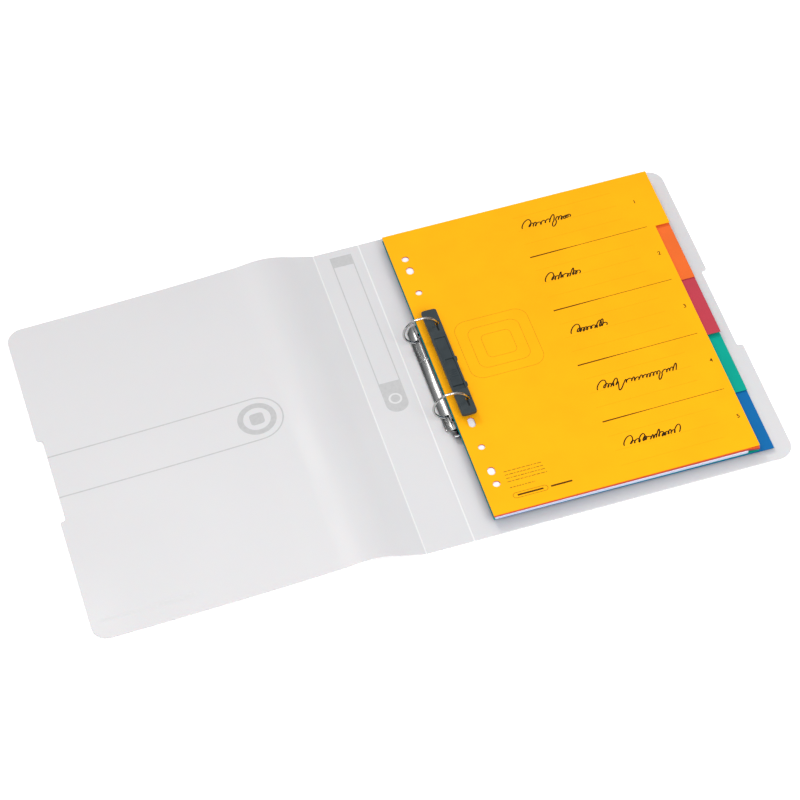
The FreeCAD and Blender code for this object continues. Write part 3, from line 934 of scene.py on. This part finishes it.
@dataclass
class PaperStack:
    """The loose sheets between the third and fourth dividers, fanned a little like used paper."""

    finishes: Finishes
    count: int = 16
    top: float = 11.56 * MM
    depth: float = 3.2 * MM
    sheet: float = 0.13 * MM
    left: float = 38.6 * MM
    width: float = 202.3 * MM
    height: float = 296.9 * MM
    hole: float = 3.0 * MM
    slack: float = 0.5 * MM
    lean: float = math.radians(0.45)
    hole_rows: tuple[float, ...] = (-40.0 * MM, 40.0 * MM)

    def hole_x(self, height: float) -> float:
        """Return where the holes are in a sheet at a height, so that it hangs on the rings."""
        centre = joint_place("page_turn")
        return centre.x + math.sqrt(RingMechanism.radius**2 - (centre.z - height) ** 2) + self.slack

    def leaf(self, low: float, jog: Point) -> bmesh.types.BMesh:
        """Make one punched sheet.

        Args:
            low: the height of its underside.
            jog: how far its outline has slipped along X and Y.

        Returns:
            The closed sheet.
        """
        bm = bmesh.new()
        middle = self.hole_x(low + self.sheet / 2)
        left, foot = self.left + jog[0], -self.height / 2 + jog[1]
        corners = rectangle(left, foot, left + self.width, foot + self.height)
        verts = [bm.verts.new((x, y, low)) for x, y in corners]
        for index in range(4):
            bm.edges.new((verts[index], verts[index - 1]))
        for y in self.hole_rows:
            bmesh.ops.create_circle(bm, cap_ends=False, segments=20, radius=self.hole,
                                    matrix=Matrix.Translation((middle, y, low)))
        bmesh.ops.triangle_fill(bm, edges=bm.edges[:], use_beauty=True, use_dissolve=False)
        extrude_up(bm, bm.faces[:], self.sheet)
        return bm

    def pack(self, name: str, first: int, last: int, material: bpy.types.Material) -> bpy.types.Object:
        """Stack a run of sheets as one piece.

        Args:
            name: the piece's name.
            first: its lowest sheet.
            last: the sheet after its highest.
            material: its finish.

        Returns:
            The piece.
        """
        draw = random.Random(41 + first)
        pitch = self.depth / self.count
        leaves = []
        for index in range(first, last):
            jog = (draw.uniform(-0.3, 0.3) * MM, draw.uniform(-0.45, 0.05) * MM)
            leaves.append(self.leaf(self.top - self.depth + index * pitch, jog))
        bm = merged(leaves)
        centre = joint_place("page_turn")
        bmesh.ops.rotate(bm, verts=bm.verts[:], cent=centre, matrix=Matrix.Rotation(self.lean, 3, "Y"))
        return finish_piece(name, bm, material, Body.PAPER)

    def build(self) -> None:
        """Make the white sheets, and under them bluish grey sheets whose colour is painted shade for the
        stack's shadowed lower edge.
        """
        split = self.count * 5 // 8
        white = self.pack("paper_upper_sheets", split, self.count, self.finishes.paper)
        # The lower sheets' bluish grey is painted shade, not a paper colour.
        self.pack("paper_lower_sheets_painted_shade", 0, split, self.finishes.shadowed_paper)
        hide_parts("paper_stack")


@dataclass
class IndexPrint:
    """What is printed and written on the top divider, all of it plain marks and single digits."""

    finishes: Finishes
    lift: float = 0.02 * MM
    field_height: float = 59.4 * MM
    rule_left: float = 144.0 * MM
    rule_right: float = 243.5 * MM
    climb: float = 0.012
    thick_end: float = 164.0 * MM
    digit_x: float = 241.6 * MM
    digit_size: float = 5.2 * MM
    digit_drift: float = 0.4 * MM
    motif_centre: Point = (93.0 * MM, 12.0 * MM)
    motif_line: float = 0.32 * MM
    motif_sides: tuple[float, ...] = (30.0 * MM, 21.0 * MM, 12.0 * MM)
    small_left: float = 57.0 * MM
    small_top: float = -111.0 * MM
    small_pitch: float = 3.35 * MM
    small_rows: tuple[float, ...] = (30.0 * MM, 30.5 * MM, 31.0 * MM, 31.5 * MM, 20.0 * MM)
    small_last: float = -127.0 * MM
    plate_low: float = -137.8 * MM
    plate_high: float = -132.8 * MM
    words: tuple[tuple[float, float, float, int], ...] = (
        (148.0 * MM, 40.0 * MM, 120.5 * MM, 13),
        (148.0 * MM, 28.0 * MM, 60.5 * MM, 10),
        (150.0 * MM, 29.0 * MM, 2.5 * MM, 10),
        (151.0 * MM, 64.0 * MM, -58.0 * MM, 22),
        (152.5 * MM, 44.0 * MM, -116.5 * MM, 15),
    )

    def __post_init__(self) -> None:
        """Read the top divider's place from the frame."""
        low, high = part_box("divider_1")
        self.top, self.head = high.z, high.y

    def lay(self, name: str, parts: list[bmesh.types.BMesh], ink: bpy.types.Material) -> None:
        """Gather a print's parts into one piece on the top divider."""
        finish_piece(name, merged(parts), ink, Body.TOP_DIVIDER)

    def band(
        self, left: float, right: float, y: float, start: float, stop: float, climb: float = 0.0,
    ) -> bmesh.types.BMesh:
        """Make a thin printed line.

        Args:
            left: where it starts.
            right: where it ends.
            y: its height on the page at the start of the rules.
            start: its width where it starts.
            stop: its width where it ends.
            climb: how steeply it climbs to the right.

        Returns:
            The closed line.
        """
        one, other = y + climb * (left - self.rule_left), y + climb * (right - self.rule_left)
        corners = [(left, one - start / 2), (right, other - stop / 2), (right, other + stop / 2),
                   (left, one + start / 2)]
        return plate(corners, self.top - self.lift, self.top + self.lift)

    def rules(self) -> None:
        """Print the four strong rules between the fields."""
        parts = []
        for index in range(1, 5):
            y = self.head - index * self.field_height
            thin = self.thick_end + 22 * MM
            parts.append(self.band(self.rule_left, self.thick_end, y, 1.25 * MM, 1.1 * MM, self.climb))
            parts.append(self.band(self.thick_end, thin, y, 1.1 * MM, 0.5 * MM, self.climb))
            parts.append(self.band(thin, self.rule_right, y, 0.5 * MM, 0.45 * MM, self.climb))
        self.lay("index_rules", parts, self.finishes.rule)

    def writing_lines(self) -> None:
        """Print the three faint writing lines in each field."""
        parts = []
        for number in range(5):
            for step in range(1, 4):
                y = self.head - number * self.field_height - step * self.field_height / 4
                right = self.rule_right - 16 * MM
                parts.append(self.band(self.rule_left, right, y, 0.3 * MM, 0.3 * MM, self.climb))
        self.lay("index_writing_lines", parts, self.finishes.faint)

    def digits(self) -> None:
        """Print the digits 1 to 5 beside the tabs."""
        for number in range(5):
            curve = bpy.data.curves.new(f"digit_{number + 1}", "FONT")
            curve.body = str(number + 1)
            curve.size = self.digit_size
            curve.extrude = self.lift
            curve.offset = 0.06 * MM
            bm = from_curve(curve)
            bmesh.ops.remove_doubles(bm, verts=bm.verts[:], dist=1e-7)
            middle = self.head - (number + 0.5) * self.field_height
            y = middle - self.digit_size / 3 + 0.5 * MM + number * self.digit_drift
            x = self.digit_x + number * self.digit_drift
            bmesh.ops.translate(bm, verts=bm.verts[:], vec=(x, y, self.top))
            finish_piece(f"index_digit_{number + 1}", bm, self.finishes.pen, Body.TOP_DIVIDER)

    def scribble(self, name: str, left: float, length: float, y: float, loops: int, seed: int) -> None:
        """Write one unreadable run of pen loops.

        Args:
            name: the piece's name.
            left: where it starts.
            length: how long it is.
            y: its base line.
            loops: how many loops it has.
            seed: what draws their sizes.
        """
        draw = random.Random(seed)
        heights = [draw.uniform(2.6, 4.0) * MM for _ in range(loops)]
        widths = [draw.uniform(0.6, 1.4) for _ in range(loops)]
        rounds = [draw.uniform(0.1, 1.5) * MM for _ in range(loops)]
        heights[0], widths[0], rounds[0] = 8.4 * MM, 1.8, 2.2 * MM
        for tall in draw.sample(range(2, loops), max(1, loops // 5)):
            heights[tall] = draw.choice((7.4, 6.8, -5.2)) * MM
        steps, pen = 12, 0.5 * MM
        curve = bpy.data.curves.new(name, "CURVE")
        curve.dimensions = "3D"
        curve.bevel_depth = pen
        curve.bevel_resolution = 1
        curve.resolution_u = 3
        curve.use_fill_caps = True
        stroke = curve.splines.new("NURBS")
        stroke.points.add(loops * steps)
        total, along = sum(widths), 0.0
        for index in range(loops * steps + 1):
            loop = min(index // steps, loops - 1)
            turn = 2 * math.pi * index / steps
            rise = heights[loop] * (1 - math.cos(turn)) / 2
            x = left + length * along / total - rounds[loop] * math.sin(turn) + 0.5 * rise
            stroke.points[index].co = (x, y + rise + 0.4 * MM * math.sin(1.7 * loop), 0, 1)
            along += widths[loop] / steps
        stroke.order_u = 4
        stroke.use_endpoint_u = True
        bm = from_curve(curve)
        bmesh.ops.scale(bm, verts=bm.verts[:], vec=(1, 1, 2.5 * self.lift / pen))
        bmesh.ops.translate(bm, verts=bm.verts[:], vec=(0, 0, self.top))
        finish_piece(name, bm, self.finishes.pen, Body.TOP_DIVIDER, 80.0)

    def motif(self) -> None:
        """Print a plain device of three nested rounded squares."""
        centre, line = Vector(self.motif_centre), self.motif_line
        parts = []
        for side in self.motif_sides:
            corner = 0.35 * side
            straight = side - corner
            for quarter in range(4):
                angle = quarter * 90
                spin = Matrix.Rotation(math.radians(angle), 2)
                middle = centre + spin @ Vector((straight, straight))
                parts.append(arc_band(middle, corner, line / 2, angle, angle + 90, self.lift, self.top))
                ends = rectangle(side - line / 2, -straight, side + line / 2, straight)
                corners = [tuple(centre + spin @ Vector(end)) for end in ends]
                parts.append(plate(corners, self.top - self.lift, self.top + self.lift))
        self.lay("index_motif", parts, self.finishes.device)

    def small_print(self) -> None:
        """Print rows of short dashes that stand for lines of small print, and a plain plate under them."""
        draw = random.Random(5)
        left = self.small_left
        parts = []
        for row, length in enumerate(self.small_rows):
            last = row == len(self.small_rows) - 1
            at = self.small_last if last else self.small_top - row * self.small_pitch
            x = left
            while x < left + length:
                step = min(draw.uniform(1.2, 3.4) * MM, left + length - x)
                parts.append(self.band(x, x + step, at, 0.8 * MM, 0.8 * MM))
                x += step + 0.7 * MM
        self.lay("index_small_print", parts, self.finishes.small)
        low, high, bar = self.plate_low, self.plate_high, 0.3 * MM
        middle = (low + high) / 2
        outline = [self.band(left + 2.5 * MM, left + 25 * MM, y, bar, bar) for y in (low, high)]
        for x, start in ((left + 25 * MM, -90), (left + 2.5 * MM, 90)):
            outline.append(arc_band(Vector((x, middle)), (high - low) / 2, bar / 2, start, start + 180,
                                    self.lift, self.top))
        outline.append(self.band(left + 3.5 * MM, left + 24 * MM, middle, 1.6 * MM, 1.6 * MM))
        outline.append(self.band(left + 30 * MM, left + 47 * MM, middle, 1.6 * MM, 1.6 * MM))
        self.lay("index_plain_plate", outline, self.finishes.rule)

    def build(self) -> None:
        """Print and write everything on the top divider."""
        self.rules()
        self.writing_lines()
        self.digits()
        self.motif()
        self.small_print()
        for number, (left, length, y, loops) in enumerate(self.words, start=1):
            self.scribble(f"index_scribble_{number}", left, length, y, loops, 10 + number)


@dataclass
class Dividers:
    """The five tabbed dividers."""

    finishes: Finishes
    bend_start: float = 238.0 * MM
    bend_stop: float = 250.0 * MM

    def drooping(self, number: int, colour: bpy.types.Material, body: Body, drop: float, slip: float) -> None:
        """Let a divider hang down past the edge of the paper that carries it.

        Args:
            number: the divider's number.
            colour: its finish.
            body: the body it rides on.
            drop: how far its free edge hangs down.
            slip: how far its foot has slipped along Y.
        """
        node = f"divider_{number}"
        bm = bmesh.new()
        bm.from_mesh(frame["nodes"][node].data)
        bm.transform(frame["nodes"][node].matrix_world)
        bmesh.ops.remove_doubles(bm, verts=bm.verts[:], dist=1e-6)
        foot = min(vert.co.y for vert in bm.verts)
        slice_across(bm, Vector((1, 0, 0)), self.bend_start, self.bend_stop, 1.0 * MM)
        for vert in bm.verts:
            vert.co.z -= drop * ease((vert.co.x - self.bend_start) / (self.bend_stop - self.bend_start))
            if vert.co.y < foot + 0.1 * MM:
                vert.co.y += slip
        piece = finish_piece(f"{node}_leaf", bm, colour, body)
        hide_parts(node)

    def build(self) -> None:
        """Dress each divider in its colour; the two on the paper droop over its edge."""
        dress("divider_1", self.finishes.yellow)
        self.drooping(2, self.finishes.orange, Body.SECOND_DIVIDER, 1.7 * MM, -0.45 * MM)
        self.drooping(3, self.finishes.red, Body.THIRD_DIVIDER, 1.9 * MM, -0.8 * MM)
        dress("divider_4", self.finishes.green)
        dress("divider_5", self.finishes.blue)


# --------------------------------------------------------------------------- studio


@dataclass
class Studio:
    """The camera, the pale floor and the soft light."""

    camera_place: Vector = field(default_factory=lambda: Vector((-0.3707, -1.5559, 1.9590)))
    camera_turn: Euler = field(default_factory=lambda: Euler(
        (math.radians(39.046), math.radians(2.494), math.radians(-16.718)), "XYZ"))
    lens: float = 145.55

    def camera(self) -> None:
        """Make the camera."""
        data = bpy.data.cameras.new("camera")
        data.sensor_width = 36.0
        data.lens = self.lens
        data.clip_end = 20.0
        camera = bpy.data.objects.new("camera", data)
        camera.location = self.camera_place
        camera.rotation_euler = self.camera_turn
        bpy.context.scene.collection.objects.link(camera)
        bpy.context.scene.camera = camera

    def floor(self) -> None:
        """Make the pale floor."""
        bm = bmesh.new()
        bmesh.ops.create_grid(bm, x_segments=1, y_segments=1, size=6.0)
        mesh = bpy.data.meshes.new("floor")
        bmesh.ops.translate(bm, verts=bm.verts[:], vec=(0, 0, -0.02 * MM))
        bm.to_mesh(mesh)
        bm.free()
        nodes = Nodes("pale_floor")
        nodes.set(Base_Color=(0.97, 0.97, 0.97), Roughness=0.9, Specular_IOR_Level=0.0,
                  Emission_Color=(1.0, 1.0, 1.0), Emission_Strength=0.25)
        mesh.materials.append(nodes.material)
        floor = bpy.data.objects.new("floor", mesh)
        bpy.context.scene.collection.objects.link(floor)

    def light(self, name: str, place: Vector, size: float, power: float, tint: Colour) -> None:
        """Hang one soft square light that looks at the binder.

        Args:
            name: the light's name.
            place: where it hangs.
            size: its side.
            power: its power in watts.
            tint: its colour.
        """
        data = bpy.data.lights.new(name, "AREA")
        data.size = size
        data.energy = power
        data.color = tint
        lamp = bpy.data.objects.new(name, data)
        lamp.location = place
        lamp.rotation_mode = "QUATERNION"
        lamp.rotation_quaternion = (Vector((0, 0, 0)) - place).to_track_quat("-Z", "Y")
        bpy.context.scene.collection.objects.link(lamp)

    def world(self) -> None:
        """Light the room evenly, a little darker towards the horizon."""
        world = bpy.data.worlds.new("room")
        bpy.context.scene.world = world
        world.use_nodes = True
        tree = world.node_tree
        place = tree.nodes.new("ShaderNodeTexCoord")
        split = tree.nodes.new("ShaderNodeSeparateXYZ")
        ramp = tree.nodes.new("ShaderNodeValToRGB")
        stops = ((0.0, 0.06), (0.18, 0.12), (0.40, 0.62), (0.70, 0.80), (0.86, 1.6))
        while len(ramp.color_ramp.elements) < len(stops):
            ramp.color_ramp.elements.new(0.5)
        for element, (position, level) in zip(ramp.color_ramp.elements, stops):
            element.position = position
            element.color = (level, level, 1.02 * level, 1)
        tree.links.new(place.outputs["Generated"], split.inputs[0])
        tree.links.new(split.outputs["Z"], ramp.inputs["Fac"])
        background = tree.nodes["Background"]
        background.inputs["Strength"].default_value = 0.62
        tree.links.new(ramp.outputs["Color"], background.inputs["Color"])

    def build(self) -> None:
        """Set up the studio."""
        self.camera()
        self.floor()
        self.world()
        self.light("key", Vector((0.22, -1.15, 1.2)), 1.0, 18.5, (1.0, 0.99, 0.98))
        self.light("corner", Vector((-0.5, 1.2, 1.96)), 0.5, 12.0, (1.0, 0.95, 0.91))
        bpy.context.scene.view_settings.view_transform = "Standard"


def main() -> None:
    """Build the binder and its studio."""
    logging.basicConfig(level=logging.INFO, format="%(name)s %(message)s")
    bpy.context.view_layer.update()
    Studio().build()
    finishes = Finishes()
    for assembly in (Spine(finishes), RingMechanism(finishes), PageRetainer(finishes), Dividers(finishes),
                     PaperStack(finishes), IndexPrint(finishes)):
        LOG.info("building %s", type(assembly).__name__)
        assembly.build()


if __name__ == "__main__":
    main()
